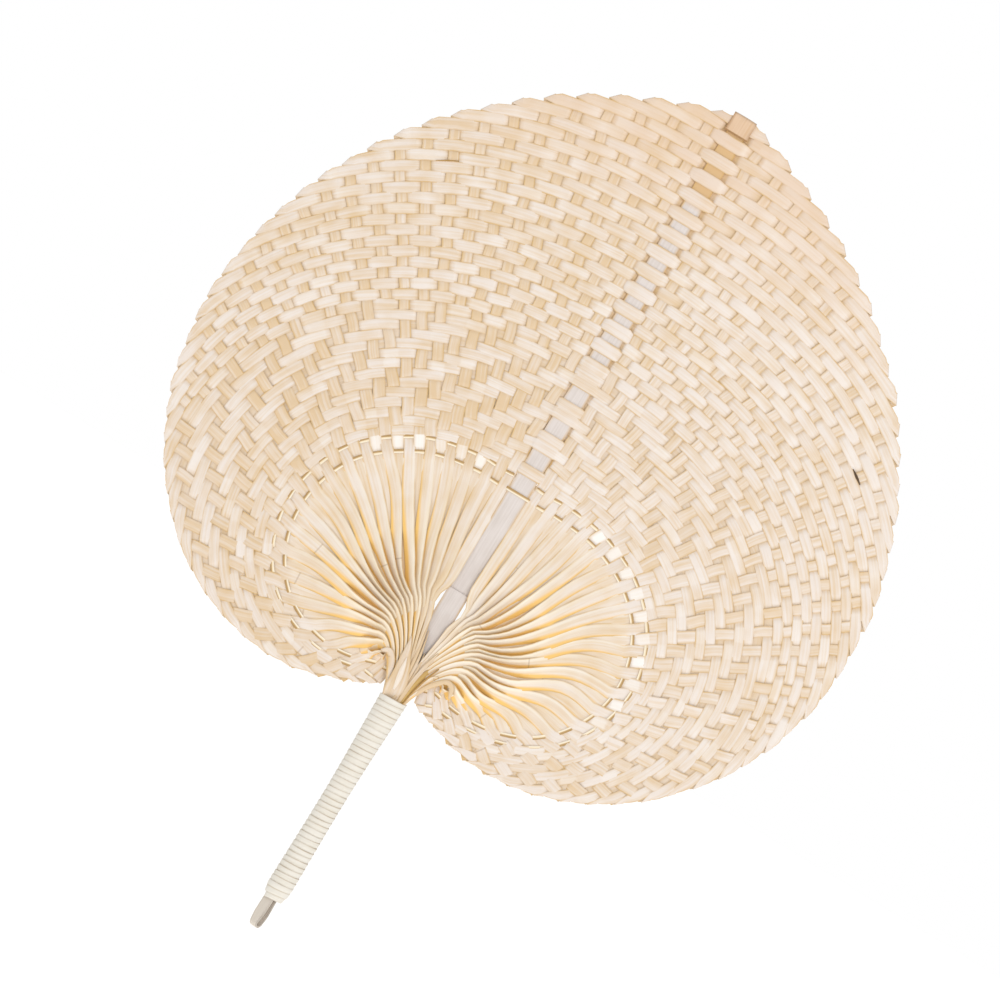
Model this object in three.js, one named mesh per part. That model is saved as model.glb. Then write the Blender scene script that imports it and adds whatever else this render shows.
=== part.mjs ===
// A peach-shaped hand fan woven from split straw strips round a flat bamboo spine, with a bound handle.
// Every strip rises from the neck, folds over at the scalloped edge and runs back as a row across the leaf.
// Millimetres. The leaf stands in the XZ plane, front towards -Y, tip towards +Z.
// The origin is the middle of the bound handle, where a hand holds the fan.
import * as THREE from "three";

// Driving dimensions: handle
const HANDLE_LENGTH = 105;
const NECK_WIDTH = 12.6;
const WAIST_WIDTH = 10;
const BUTT_WIDTH = 11;
const CORE_DEPTH_SHARE = 0.94;
const TAIL_LENGTH = 8;
const TAIL_WIDTH = 1;
const BINDING_LOOPS = 24;
const BINDING_STEPS = 16;
const BINDING_WIDTH = 3.6;
const BINDING_THICKNESS = 0.5;

// Driving dimensions: spine and its front slat
const SPINE_WIDTH = 11;
const SPINE_TIP_WIDTH = 9.4;
const SPINE_HANDLE_WIDTH = 7.6;
const SPINE_THICKNESS = 1;
const SHOULDER_LENGTH = 24;
const SLAT_REACH = 58;
const SLAT_THICKNESS = 0.6;

// Driving dimensions: neck blade, tip clip and hanging loop
const BLADE_STEM_WIDTH = 4.4;
const BLADE_WIDTH = 8.4;
const BLADE_WAIST_WIDTH = 6.4;
const BLADE_TIP_WIDTH = 0.8;
const BLADE_REACH = 29;
const BLADE_SHOULDER = 4;
const BLADE_LEAN = 8;
const BLADE_STAND = 1.8;
const CLIP_WIDTH = 11.8;
const CLIP_LENGTH = 10;
const CLIP_THICKNESS = 0.5;
const LOOP_REACH = 21;
const LOOP_WIDTH = 5.8;
const LOOP_THICKNESS = 1.3;
const LOOP_SEAT = 10;

// Driving dimensions: outline of the leaf. Radii are taken about the centre of the weave, above the neck,
// where the strips point; the right lobe is a little smaller than the left one.
const CENTRE_RISE = 28;
const TIP_RADIUS = 289;
const SHOULDER_RADIUS = 239;
const LEAF_WIDTH = 349;
const LEFT_FLANK_RADIUS = 121.5;
const RIGHT_FLANK_RADIUS = 114;
const LEFT_LOBE_RADIUS = 72;
const RIGHT_LOBE_RADIUS = 62;
const LEFT_HEEL_RADIUS = 37;
const RIGHT_HEEL_RADIUS = 35;
const OVAL_RISE = 92;

// Directions from the spine, in degrees, at which the outline has these sizes
const SHOULDER_ANGLE = 33;
const CHEEK_ANGLE = 66;
const FLANK_ANGLE = 98;
const LOBE_ANGLE = 122;
const HEEL_ANGLE = 147;

// Driving dimensions: strips and weave
const STRIPS_PER_SIDE = 24;
const PLAIN_SHARE = 0.625;
const STRIP_WIDTH = 7.4;
const STRIP_THICKNESS = 0.3;
const STRIP_FILL = 0.9;
const ROW_FILL = 0.86;
const SIDE_PITCH_SHARE = 0.957;
const SIDE_PITCH_FROM = 0.4;
const FAN_SPREAD = 125;
const FAN_FLARE = 10;
const FLARE_POWER = 8;
const LOUVRE_FILL = 0.93;
const THIN_FILL = 0.75;
const BEND_SHARE = 0.33;
const LOW_BEND_SHARE = 0.95;
const BEND_POWER = 4;
const NECK_PULL = 0.45;
const BEND_PULL = 0.4;
const FORWARD_FROM = 0.5;
const FORWARD_TO = 0.88;
const FLAT_MARGIN = 4;
const WEFT_WIDTH = 1.4;
const WEFT_INSET = 1.7;

// Clearances between pieces that lie on each other
const GAP = 0.25;
const SEAT_GAP = 0.3;

// Worked-out sizes
const NECK_Z = HANDLE_LENGTH / 2;
const BUTT_Z = -HANDLE_LENGTH / 2;
const TAIL_Z = NECK_Z - TAIL_LENGTH;
const CENTRE_Z = NECK_Z + CENTRE_RISE;
const TIP_Z = CENTRE_Z + TIP_RADIUS;
const SPINE_EDGE = SPINE_WIDTH / 2 + GAP;
const LIFT = STRIP_THICKNESS + GAP;
const SLAT_FRONT = SPINE_THICKNESS / 2 + GAP + SLAT_THICKNESS;
const BUNDLE_INSET = STRIP_THICKNESS + 2 * SEAT_GAP;
const SPINE_LIFT = SPINE_THICKNESS / 2 + GAP + STRIP_THICKNESS / 2;
const LAST_ROW = (STRIPS_PER_SIDE + 0.5) / STRIPS_PER_SIDE;
const FRONT = new THREE.Vector3(0, -1, 0);
const BACK = new THREE.Vector3(0, 1, 0);

// Each half of the leaf and its edge, as degrees from the spine and radius
const CHEEK_SINE = Math.sin(THREE.MathUtils.degToRad(CHEEK_ANGLE));
const CHEEK_RADIUS = (LEAF_WIDTH / 2 - SPINE_EDGE) / CHEEK_SINE;
const edgeThrough = (flank, lobe, heel) => [
  [0, TIP_RADIUS],
  [SHOULDER_ANGLE, SHOULDER_RADIUS],
  [CHEEK_ANGLE, CHEEK_RADIUS],
  [FLANK_ANGLE, flank],
  [LOBE_ANGLE, lobe],
  [HEEL_ANGLE, heel],
];
const HALVES = [
  { name: "left", sign: -1, edge: edgeThrough(LEFT_FLANK_RADIUS, LEFT_LOBE_RADIUS, LEFT_HEEL_RADIUS) },
  { name: "right", sign: 1, edge: edgeThrough(RIGHT_FLANK_RADIUS, RIGHT_LOBE_RADIUS, RIGHT_HEEL_RADIUS) },
];

// Materials
const straw = new THREE.MeshStandardMaterial({ color: 0xeedcb8, roughness: 0.62, metalness: 0 });
const paleStraw = new THREE.MeshStandardMaterial({ color: 0xf3e8d2, roughness: 0.6, metalness: 0 });
const bamboo = new THREE.MeshStandardMaterial({ color: 0xdcd8cf, roughness: 0.5, metalness: 0 });
const ivory = new THREE.MeshStandardMaterial({ color: 0xefebdd, roughness: 0.55, metalness: 0 });
const tan = new THREE.MeshStandardMaterial({ color: 0xe6bf8c, roughness: 0.6, metalness: 0 });

// Smooth curve through [x, y] points, read at x
function curveThrough(points, x) {
  const last = points.length - 1;
  let i = 0;
  while (i < last - 1 && x > points[i + 1][0]) i += 1;
  const slope = (n) => {
    const before = points[Math.max(n - 1, 0)];
    const after = points[Math.min(n + 1, last)];
    return (after[1] - before[1]) / (after[0] - before[0]);
  };
  const span = points[i + 1][0] - points[i][0];
  const t = (x - points[i][0]) / span;
  const rise = points[i + 1][1] - points[i][1];
  const bend0 = slope(i) * span - rise;
  const bend1 = rise - slope(i + 1) * span;
  return points[i][1] + rise * t + t * (1 - t) * (bend0 * (1 - t) + bend1 * t);
}

// Closed solid through rings of corners: each ring is a convex loop with as many corners as the next.
// Facing sides are cut along the same diagonal, so that a twisted strip keeps its thickness.
function loft(rings) {
  const size = rings[0].length;
  const corners = rings.flat();
  const faces = [];
  for (let r = 0; r + 1 < rings.length; r += 1) {
    for (let c = 0; c < size; c += 1) {
      const here = r * size + c;
      const next = r * size + ((c + 1) % size);
      if (2 * c < size) faces.push(here, next, here + size, next, next + size, here + size);
      else faces.push(here, next, next + size, here, next + size, here + size);
    }
  }
  const top = (rings.length - 1) * size;
  for (let c = 1; c + 1 < size; c += 1) {
    faces.push(0, c + 1, c);
    faces.push(top, top + c, top + c + 1);
  }
  let volume = 0;
  for (let f = 0; f < faces.length; f += 3) {
    const [p, q, s] = [corners[faces[f]], corners[faces[f + 1]], corners[faces[f + 2]]];
    volume += p.dot(q.clone().cross(s));
  }
  if (volume < 0) faces.reverse();
  const geometry = new THREE.BufferGeometry().setFromPoints(corners);
  geometry.setIndex(faces);
  geometry.computeVertexNormals();
  return geometry;
}

// Four corners of a flat strip from its two edges and the half-thickness vector of its face
function stripRing(edgeA, edgeB, half) {
  return [
    edgeA.clone().add(half),
    edgeB.clone().add(half),
    edgeB.clone().sub(half),
    edgeA.clone().sub(half),
  ];
}

// Place of strip k in the fan: 0 at the spine, 1 at the lowest strip
const shareOf = (k) => (k - 0.5) / STRIPS_PER_SIDE;

// Direction of a strip from the spine; the lowest strips spread wider
const fanDegrees = (share) => FAN_SPREAD * share + FAN_FLARE * share ** FLARE_POWER;
const fanAngle = (share) => THREE.MathUtils.degToRad(fanDegrees(share));

// Radians that the fan turns for a unit of share
const fanRate = (share) =>
  THREE.MathUtils.degToRad(FAN_SPREAD + FLARE_POWER * FAN_FLARE * share ** (FLARE_POWER - 1));

// Rows lie a pitch apart, a little closer at the sides than at the spine
const SPINE_PITCH = (TIP_RADIUS - OVAL_RISE) / (STRIPS_PER_SIDE * LAST_ROW);
function rowPitch(share) {
  const aside = THREE.MathUtils.smoothstep(share, 0, SIDE_PITCH_FROM);
  return SPINE_PITCH * THREE.MathUtils.lerp(1, SIDE_PITCH_SHARE, aside);
}

const edgeRadius = (half, share) => curveThrough(half.edge, fanDegrees(share));

// Radius of a place in the web: its own share of the fan at the edge, LAST_ROW at the rim of the bare oval
const webRadius = (half, share, depth) =>
  edgeRadius(half, share) - rowPitch(share) * STRIPS_PER_SIDE * (depth - share);
const ovalRadius = (half, share) => webRadius(half, share, LAST_ROW);

// Point of the leaf on the +X half; mirrored for the other half afterwards
function leafPoint(angle, radius, depth) {
  const across = SPINE_EDGE + radius * Math.sin(angle);
  return new THREE.Vector3(across, depth, CENTRE_Z + radius * Math.cos(angle));
}

// Rows: the row of strip k leaves the edge at that strip's own share
const rowRadius = (half, share, k) => webRadius(half, share, shareOf(k));
const rowWidth = (share) => Math.min(STRIP_WIDTH, ROW_FILL * rowPitch(share));

// Upright strips: width where the flat part starts, and along the web
const flatRadius = (half, k) => ovalRadius(half, shareOf(k)) - FLAT_MARGIN;
const laneWidth = (k, radius) => (STRIP_FILL * radius * fanRate(shareOf(k))) / STRIPS_PER_SIDE;
const flatWidth = (half, k) => Math.min(STRIP_WIDTH, laneWidth(k, flatRadius(half, k)));

function uprightWidth(half, k, radius) {
  const start = flatRadius(half, k);
  const end = edgeRadius(half, shareOf(k));
  const along = THREE.MathUtils.clamp((radius - start) / (end - start), 0, 1);
  const foldWidth = Math.min(STRIP_WIDTH, laneWidth(k, end));
  return THREE.MathUtils.lerp(flatWidth(half, k), foldWidth, along);
}

// The outer rows are plain weave, the inner rows a two-over-two twill mirrored at the spine (j = 0).
function rowIsOver(k, j) {
  if (k <= PLAIN_SHARE * STRIPS_PER_SIDE) return (k - j) % 2 === 1;
  return (k - j) % 4 < 2;
}

// Half-width of the handle core at a height: neck, waist and butt
function coreHalfWidth(z) {
  const t = THREE.MathUtils.clamp((z - BUTT_Z) / HANDLE_LENGTH, 0, 1);
  const widths = [[0, BUTT_WIDTH], [0.5, WAIST_WIDTH], [1, NECK_WIDTH]];
  return curveThrough(widths, t) / 2;
}
const coreHalfDepth = (z) => coreHalfWidth(z) * CORE_DEPTH_SHARE;

// Gathered part of a strip: tail in the binding, S-bend in front of the spine, then the radial run.
const GATHER_STEPS = ["tail", "neck", 0.25, 0.5, 0.75, 1, 1.4, 1.75, 2];

function gatherPoint(half, k, step) {
  const bundleHalf = coreHalfWidth(TAIL_Z) - SEAT_GAP;
  const neck = new THREE.Vector2((bundleHalf * (k - 0.5)) / STRIPS_PER_SIDE, NECK_Z);
  const up = new THREE.Vector2(0, 1);
  if (step === "tail") return { at: neck.clone().setY(TAIL_Z), along: up };
  if (step === "neck") return { at: neck, along: up };
  const angle = fanAngle(shareOf(k));
  const radial = new THREE.Vector2(Math.sin(angle), Math.cos(angle));
  const centre = new THREE.Vector2(SPINE_EDGE, CENTRE_Z);
  const bendShare = THREE.MathUtils.lerp(BEND_SHARE, LOW_BEND_SHARE, shareOf(k) ** BEND_POWER);
  const bendRadius = bendShare * flatRadius(half, k);
  if (step >= 1) {
    const radius = THREE.MathUtils.lerp(bendRadius, flatRadius(half, k), step - 1);
    return { at: centre.clone().addScaledVector(radial, radius), along: radial };
  }
  const bend = centre.clone().addScaledVector(radial, bendRadius);
  const reach = bend.distanceTo(neck);
  const path = new THREE.CubicBezierCurve(
    neck,
    neck.clone().addScaledVector(up, NECK_PULL * reach),
    bend.clone().addScaledVector(radial, -BEND_PULL * reach),
    bend,
  );
  return { at: path.getPoint(step), along: path.getTangent(step) };
}

// Tilt that fits a strip of this width and thickness into its lane, like a louvre
function louvreTilt(width, thickness, lane) {
  let flat = 0;
  let upright = Math.PI / 2;
  for (let i = 0; i < 40; i += 1) {
    const tilt = (flat + upright) / 2;
    if (width * Math.cos(tilt) + thickness * Math.sin(tilt) > lane) flat = tilt;
    else upright = tilt;
  }
  return width <= lane ? 0 : upright;
}

function gatherRings(half, k) {
  const neckX = gatherPoint(half, k, "neck").at.x;
  const round = Math.sqrt(1 - (neckX / coreHalfWidth(TAIL_Z)) ** 2);
  const backOfBundle = SLAT_FRONT + GAP;
  const room = coreHalfDepth(TAIL_Z) * round - backOfBundle - BUNDLE_INSET;
  const neckWidth = Math.max(room, TAIL_WIDTH);
  return GATHER_STEPS.map((step) => {
    const { at, along } = gatherPoint(half, k, step);
    const run = typeof step === "number" ? step / 2 : 0;
    const neighbours = [k - 1, k + 1].filter((n) => n >= 1 && n <= STRIPS_PER_SIDE);
    const lanes = neighbours.map((n) => {
      const apart = gatherPoint(half, n, step).at.sub(at);
      return Math.abs(along.cross(apart));
    });
    const lane = LOUVRE_FILL * Math.min(...lanes);
    const width = THREE.MathUtils.lerp(neckWidth, flatWidth(half, k), run);
    const thickness = Math.min(STRIP_THICKNESS, THIN_FILL * lane);
    const tilt = step === 2 ? 0 : louvreTilt(width, thickness, lane);
    const forward = 1 - THREE.MathUtils.smoothstep(run, FORWARD_FROM, FORWARD_TO);
    const stand = backOfBundle + (width / 2) * Math.sin(tilt) + thickness / 2;
    const middle = new THREE.Vector3(at.x, -forward * stand, at.y);
    const inward = new THREE.Vector3(-along.y, 0, along.x);
    const across = inward.clone().multiplyScalar(Math.cos(tilt)).addScaledVector(FRONT, Math.sin(tilt));
    const face = FRONT.clone().multiplyScalar(Math.cos(tilt)).addScaledVector(inward, -Math.sin(tilt));
    const edgeA = middle.clone().addScaledVector(across, -width / 2);
    const edgeB = middle.clone().addScaledVector(across, width / 2);
    return stripRing(edgeA, edgeB, face.multiplyScalar(thickness / 2));
  });
}

// Fold at the edge of the leaf: the strip turns over a 45-degree crease and lies on its own front.
function foldRings(half, k) {
  const share = shareOf(k);
  const angle = fanAngle(share);
  const radius = edgeRadius(half, share);
  const outward = new THREE.Vector3(Math.sin(angle), 0, Math.cos(angle));
  const inward = new THREE.Vector3(-Math.cos(angle), 0, Math.sin(angle));
  const halfUpright = uprightWidth(half, k, radius) / 2;
  const halfRow = rowWidth(share) / 2;
  const crease = inward.clone().multiplyScalar(halfUpright).addScaledVector(outward, halfRow);
  const overEdge = outward.clone().multiplyScalar(halfUpright).addScaledVector(inward, -halfRow).normalize();
  const ring = (depth, reach, face) => {
    const middle = leafPoint(angle, radius, depth).addScaledVector(overEdge, reach);
    return stripRing(middle.clone().sub(crease), middle.clone().add(crease), face);
  };
  const halfThick = STRIP_THICKNESS / 2;
  return [
    ring(0, 0, FRONT.clone().multiplyScalar(halfThick)),
    ring(-LIFT / 2, LIFT / 2, overEdge.clone().multiplyScalar(-halfThick)),
    ring(-LIFT, 0, BACK.clone().multiplyScalar(halfThick)),
  ];
}

// One cross-section of a row or weft, upright edge to upright edge along its radius
function rowRing(mirrored, angle, radius, width, depth) {
  const edges = [radius - width / 2, radius + width / 2].map((r) => leafPoint(angle, r, depth));
  if (mirrored) edges.forEach((edge) => edge.setX(-edge.x));
  return stripRing(edges[0], edges[1], BACK.clone().multiplyScalar(STRIP_THICKNESS / 2));
}

// Sections of a strip that passes over and under the listed crossings. A crossing has the half it is on,
// the shares of its two sides in the order of travel, and the depth that the strip keeps there.
function weaveRings(start, crossings, sectionAt) {
  const rings = [];
  crossings.forEach((crossing, i) => {
    const before = i === 0 ? start : crossings[i - 1];
    const after = crossings[i + 1];
    const rises = !before || before.depth !== crossing.depth;
    const falls = after && after.depth !== crossing.depth;
    if (rises) rings.push(sectionAt(crossing.enterHalf, crossing.enter, crossing.depth));
    if (falls || !after) rings.push(sectionAt(crossing.leaveHalf, crossing.leave, crossing.depth));
    if (!rises && !falls && after) {
      const middle = (crossing.enter + crossing.leave) / 2;
      rings.push(sectionAt(crossing.enterHalf, middle, crossing.depth));
    }
  });
  return rings;
}

// Share that a length along a row takes up
const shareOfLength = (length, radius, share) => length / (radius * fanRate(share));

// Crossing of an upright strip j at a radius, towards the spine (-1) or away from it (1)
function uprightCrossing(half, j, radius, depth, heading) {
  const share = shareOf(j);
  const reach = shareOfLength(uprightWidth(half, j, radius) / 2 + GAP / 2, radius, share);
  return {
    enterHalf: half,
    leaveHalf: half,
    enter: share - heading * reach,
    leave: share + heading * reach,
    depth,
  };
}

// A row ends under the first upright strip past the spine, where it meets the row from the other side.
function tuckStrip(k) {
  for (let j = 1; j < k; j += 1) {
    if (!rowIsOver(k, j)) return j;
  }
  return 0;
}

function rowRings(half, other, k) {
  const depthAt = (j, lift) => (rowIsOver(k, j) ? -lift : lift);
  const crossesSpine = (k % 2 === 0) === (half.sign < 0);
  const tuck = tuckStrip(k);
  const endHalf = crossesSpine ? other : half;
  const endShare = tuck > 0 ? shareOf(tuck) : shareOf(1) / 2;
  const endGap = shareOfLength(SEAT_GAP / 2, rowRadius(endHalf, endShare, k), endShare);
  const crossings = [];
  for (let j = k - 1; j >= (crossesSpine ? 1 : tuck + 1); j -= 1) {
    crossings.push(uprightCrossing(half, j, rowRadius(half, shareOf(j), k), depthAt(j, LIFT), -1));
  }
  if (crossesSpine) {
    crossings.push({ enterHalf: half, leaveHalf: other, enter: 0, leave: 0, depth: depthAt(0, SPINE_LIFT) });
    for (let j = 1; j < tuck; j += 1) {
      crossings.push(uprightCrossing(other, j, rowRadius(other, shareOf(j), k), depthAt(j, LIFT), 1));
    }
  }
  const heading = crossesSpine ? 1 : -1;
  const lastDepth = crossings.length > 0 ? crossings[crossings.length - 1].depth : -LIFT;
  const end = {
    enterHalf: endHalf,
    leaveHalf: endHalf,
    enter: endShare - 2 * heading * endGap,
    leave: endShare - heading * endGap,
    depth: lastDepth,
  };
  if (tuck > 0) {
    const radius = rowRadius(endHalf, endShare, k);
    end.enter = uprightCrossing(endHalf, tuck, radius, LIFT, heading).enter;
    end.depth = LIFT;
  }
  crossings.push(end);
  return weaveRings({ depth: -LIFT }, crossings, (where, share, depth) => {
    const radius = rowRadius(where, share, k);
    return rowRing(where !== half, fanAngle(share), radius, rowWidth(share), depth);
  });
}

function makeStrip(half, other, k) {
  const rings = [...gatherRings(half, k), ...foldRings(half, k), ...rowRings(half, other, k)];
  for (const corner of rings.flat()) corner.x *= half.sign;
  return loft(rings);
}

// Thin weft that starts the web along the rim of the oval, over and under by turns
function makeStarterWeft() {
  const [left, right] = HALVES;
  const radiusAt = (half, share) => ovalRadius(half, share) - WEFT_INSET;
  const crossingsOf = (half, heading) =>
    Array.from({ length: STRIPS_PER_SIDE }, (_, i) => i + 1).map((j) => {
      const depth = j % 2 === 1 ? -LIFT : LIFT;
      return uprightCrossing(half, j, radiusAt(half, shareOf(j)), depth, heading);
    });
  const spine = { enterHalf: left, leaveHalf: right, enter: 0, leave: 0, depth: SPINE_LIFT };
  const crossings = [...crossingsOf(left, -1).reverse(), spine, ...crossingsOf(right, 1)];
  const rings = weaveRings(null, crossings, (where, share, depth) =>
    rowRing(where === left, fanAngle(share), radiusAt(where, share), WEFT_WIDTH, depth),
  );
  return loft(rings);
}

// Half-width of the spine at a height: narrow in the handle, then shoulders, then a slight taper to the tip
function spineHalfWidth(z) {
  const shoulder = THREE.MathUtils.clamp((z - NECK_Z) / SHOULDER_LENGTH + 0.5, 0, 1);
  const taper = THREE.MathUtils.clamp((z - NECK_Z) / (TIP_Z - NECK_Z), 0, 1);
  const blade = THREE.MathUtils.lerp(SPINE_WIDTH, SPINE_TIP_WIDTH, taper);
  return THREE.MathUtils.lerp(SPINE_HANDLE_WIDTH, blade, shoulder) / 2;
}

// Flat slat through the given heights, its width following the spine
function makeSlat(heights, depth, thickness) {
  const face = FRONT.clone().multiplyScalar(thickness / 2);
  return loft(
    heights.map((z) => {
      const x = spineHalfWidth(z);
      return stripRing(new THREE.Vector3(-x, depth, z), new THREE.Vector3(x, depth, z), face);
    }),
  );
}

// Spine from the butt seat to the tip
function makeSpine() {
  const shoulders = [NECK_Z - SHOULDER_LENGTH / 2, NECK_Z + SHOULDER_LENGTH / 2];
  return makeSlat([BUTT_Z + LOOP_SEAT + SEAT_GAP, ...shoulders, TIP_Z], 0, SPINE_THICKNESS);
}

// Short slat that lies on the front of the spine and stiffens it above the neck
function makeFrontSlat() {
  const heights = [TAIL_Z, NECK_Z + SHOULDER_LENGTH / 2, NECK_Z + SLAT_REACH];
  return makeSlat(heights, SLAT_THICKNESS / 2 - SLAT_FRONT, SLAT_THICKNESS);
}

// Broad blade that rises out of the binding in front of the pleats and leans to the left
function makeNeckBlade() {
  const base = coreHalfDepth(TAIL_Z) - SEAT_GAP;
  const face = FRONT.clone().multiplyScalar(STRIP_THICKNESS / 2);
  const blade = (rise, width) => {
    const along = Math.max(rise, 0) / BLADE_REACH;
    const x = -BLADE_LEAN * along;
    const y = -base - BLADE_STAND * along;
    const z = NECK_Z + rise;
    return stripRing(new THREE.Vector3(x - width / 2, y, z), new THREE.Vector3(x + width / 2, y, z), face);
  };
  return loft([
    blade(-TAIL_LENGTH, BLADE_STEM_WIDTH),
    blade(0, BLADE_STEM_WIDTH),
    blade(BLADE_SHOULDER, BLADE_WIDTH),
    blade(BLADE_REACH / 2, BLADE_WAIST_WIDTH),
    blade(BLADE_REACH, BLADE_TIP_WIDTH),
  ]);
}

// Half-round lath of the handle core; side -1 lies in front of the spine, 1 behind it
function makeLath(side, topZ) {
  const flat = SPINE_THICKNESS / 2 + GAP;
  const sides = 8;
  const stations = 6;
  const rings = [];
  for (let s = 0; s <= stations; s += 1) {
    const z = THREE.MathUtils.lerp(BUTT_Z, topZ, s / stations);
    const start = Math.asin(flat / coreHalfDepth(z));
    const ring = [];
    for (let i = 0; i <= sides; i += 1) {
      const turn = THREE.MathUtils.lerp(start, Math.PI - start, i / sides);
      const x = coreHalfWidth(z) * Math.cos(turn);
      ring.push(new THREE.Vector3(x, side * coreHalfDepth(z) * Math.sin(turn), z));
    }
    rings.push(ring);
  }
  return loft(rings);
}

// Binding: one flat strip wound round the handle core from butt to neck
function makeBinding() {
  const steps = BINDING_LOOPS * BINDING_STEPS;
  const chordSag = (NECK_WIDTH / 2) * (1 - Math.cos(Math.PI / BINDING_STEPS));
  const rings = [];
  for (let i = 0; i <= steps; i += 1) {
    const turn = (2 * Math.PI * i) / BINDING_STEPS;
    const z = THREE.MathUtils.lerp(BUTT_Z + BINDING_WIDTH / 2, NECK_Z - BINDING_WIDTH / 2, i / steps);
    const width = coreHalfWidth(z) + SEAT_GAP + chordSag;
    const depth = coreHalfDepth(z) + SEAT_GAP + chordSag;
    const inside = new THREE.Vector3(width * Math.cos(turn), depth * Math.sin(turn), z);
    const out = new THREE.Vector3(Math.cos(turn) / width, Math.sin(turn) / depth, 0).normalize();
    const outside = inside.clone().addScaledVector(out, BINDING_THICKNESS);
    const half = new THREE.Vector3(0, 0, BINDING_WIDTH / 2);
    rings.push(stripRing(inside, outside, half));
  }
  console.log("binding: least gap to itself " + leastGap(rings).toFixed(2) + " mm");
  return loft(rings);
}

// Least distance between the facing edges of one loop and the next
function leastGap(rings) {
  let least = Infinity;
  for (let i = 0; i + BINDING_STEPS < rings.length; i += 1) {
    for (const upper of rings[i].slice(0, 2)) {
      for (const lower of rings[i + BINDING_STEPS].slice(2)) {
        least = Math.min(least, upper.distanceTo(lower));
      }
    }
  }
  return least;
}

// Folded clip over the tip
function makeTipClip() {
  const inner = SPINE_LIFT + STRIP_THICKNESS / 2 + SEAT_GAP;
  const outer = inner + CLIP_THICKNESS;
  const top = TIP_Z + SEAT_GAP - inner / 2;
  const profile = new THREE.Shape();
  profile.moveTo(-outer, TIP_Z - CLIP_LENGTH);
  profile.lineTo(-inner, TIP_Z - CLIP_LENGTH);
  profile.lineTo(-inner, top);
  profile.quadraticCurveTo(-inner, top + inner, 0, top + inner);
  profile.quadraticCurveTo(inner, top + inner, inner, top);
  profile.lineTo(inner, TIP_Z - CLIP_LENGTH);
  profile.lineTo(outer, TIP_Z - CLIP_LENGTH);
  profile.lineTo(outer, top);
  profile.quadraticCurveTo(outer, top + outer, 0, top + outer);
  profile.quadraticCurveTo(-outer, top + outer, -outer, top);
  const clip = new THREE.ExtrudeGeometry(profile, { depth: CLIP_WIDTH, bevelEnabled: false, curveSegments: 4 });
  clip.translate(0, 0, -CLIP_WIDTH / 2);
  return clip;
}

// Hanging loop: a split strip bent double, its two legs seated between the laths below the spine
function makeLoop() {
  const leg = LOOP_THICKNESS / 2 + SEAT_GAP;
  const bow = LOOP_WIDTH / 2 - LOOP_THICKNESS / 2;
  const bottom = BUTT_Z - LOOP_REACH + LOOP_THICKNESS / 2;
  const rightSide = [
    [leg, BUTT_Z + LOOP_SEAT],
    [leg, BUTT_Z - 1],
    [0.85 * bow, BUTT_Z - 0.4 * LOOP_REACH],
    [bow, BUTT_Z - 0.7 * LOOP_REACH],
    [0.7 * bow, bottom + 0.08 * LOOP_REACH],
  ];
  const leftSide = rightSide.map(([x, z]) => [-x, z]).reverse();
  const route = [...rightSide, [0, bottom], ...leftSide].map(([x, z]) => new THREE.Vector2(x, z));
  const path = new THREE.SplineCurve(route);
  const steps = 30;
  const half = BACK.clone().multiplyScalar(SPINE_THICKNESS / 2);
  const rings = [];
  for (let i = 0; i <= steps; i += 1) {
    const at = path.getPoint(i / steps);
    const along = path.getTangent(i / steps);
    const out = new THREE.Vector3(-along.y, 0, along.x).multiplyScalar(LOOP_THICKNESS / 2);
    const middle = new THREE.Vector3(at.x, 0, at.y);
    rings.push(stripRing(middle.clone().sub(out), middle.clone().add(out), half));
  }
  return loft(rings);
}

// Assembly
const fan = new THREE.Group();
fan.name = "woven_fan";

function addPiece(name, geometry, material) {
  const piece = new THREE.Mesh(geometry, material);
  piece.name = name;
  fan.add(piece);
  return piece;
}

HALVES.forEach((half, i) => {
  const other = HALVES[1 - i];
  for (let k = 1; k <= STRIPS_PER_SIDE; k += 1) {
    const label = "strip_" + half.name + "_" + String(k).padStart(2, "0");
    addPiece(label, makeStrip(half, other, k), k % 2 === 0 ? straw : paleStraw);
  }
});
addPiece("starter_weft", makeStarterWeft(), tan);
addPiece("spine_slat", makeSpine(), bamboo);
addPiece("spine_front_slat", makeFrontSlat(), bamboo);
addPiece("neck_blade", makeNeckBlade(), paleStraw);
addPiece("handle_front_lath", makeLath(-1, TAIL_Z - SEAT_GAP), bamboo);
addPiece("handle_back_lath", makeLath(1, NECK_Z), bamboo);
addPiece("handle_binding", makeBinding(), ivory);
const clip = addPiece("tip_clip", makeTipClip(), tan);
clip.rotation.set(Math.PI / 2, 0, Math.PI / 2, "ZYX");
addPiece("hanging_loop", makeLoop(), ivory);

export default fan;
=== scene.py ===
import math

import bpy
import numpy as np
from mathutils import Matrix


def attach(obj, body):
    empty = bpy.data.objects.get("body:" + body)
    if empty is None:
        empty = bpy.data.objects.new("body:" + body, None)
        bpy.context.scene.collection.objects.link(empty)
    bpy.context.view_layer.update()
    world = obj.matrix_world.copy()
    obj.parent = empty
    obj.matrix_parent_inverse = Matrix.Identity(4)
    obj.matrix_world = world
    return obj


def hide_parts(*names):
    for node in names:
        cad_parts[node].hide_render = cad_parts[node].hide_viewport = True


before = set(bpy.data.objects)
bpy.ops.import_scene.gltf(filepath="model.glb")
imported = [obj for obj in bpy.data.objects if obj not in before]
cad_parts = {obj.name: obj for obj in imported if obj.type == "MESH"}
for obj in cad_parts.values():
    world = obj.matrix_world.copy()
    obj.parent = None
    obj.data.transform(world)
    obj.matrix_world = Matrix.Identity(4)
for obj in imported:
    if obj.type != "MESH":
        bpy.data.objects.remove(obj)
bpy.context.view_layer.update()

MM = 0.001

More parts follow.
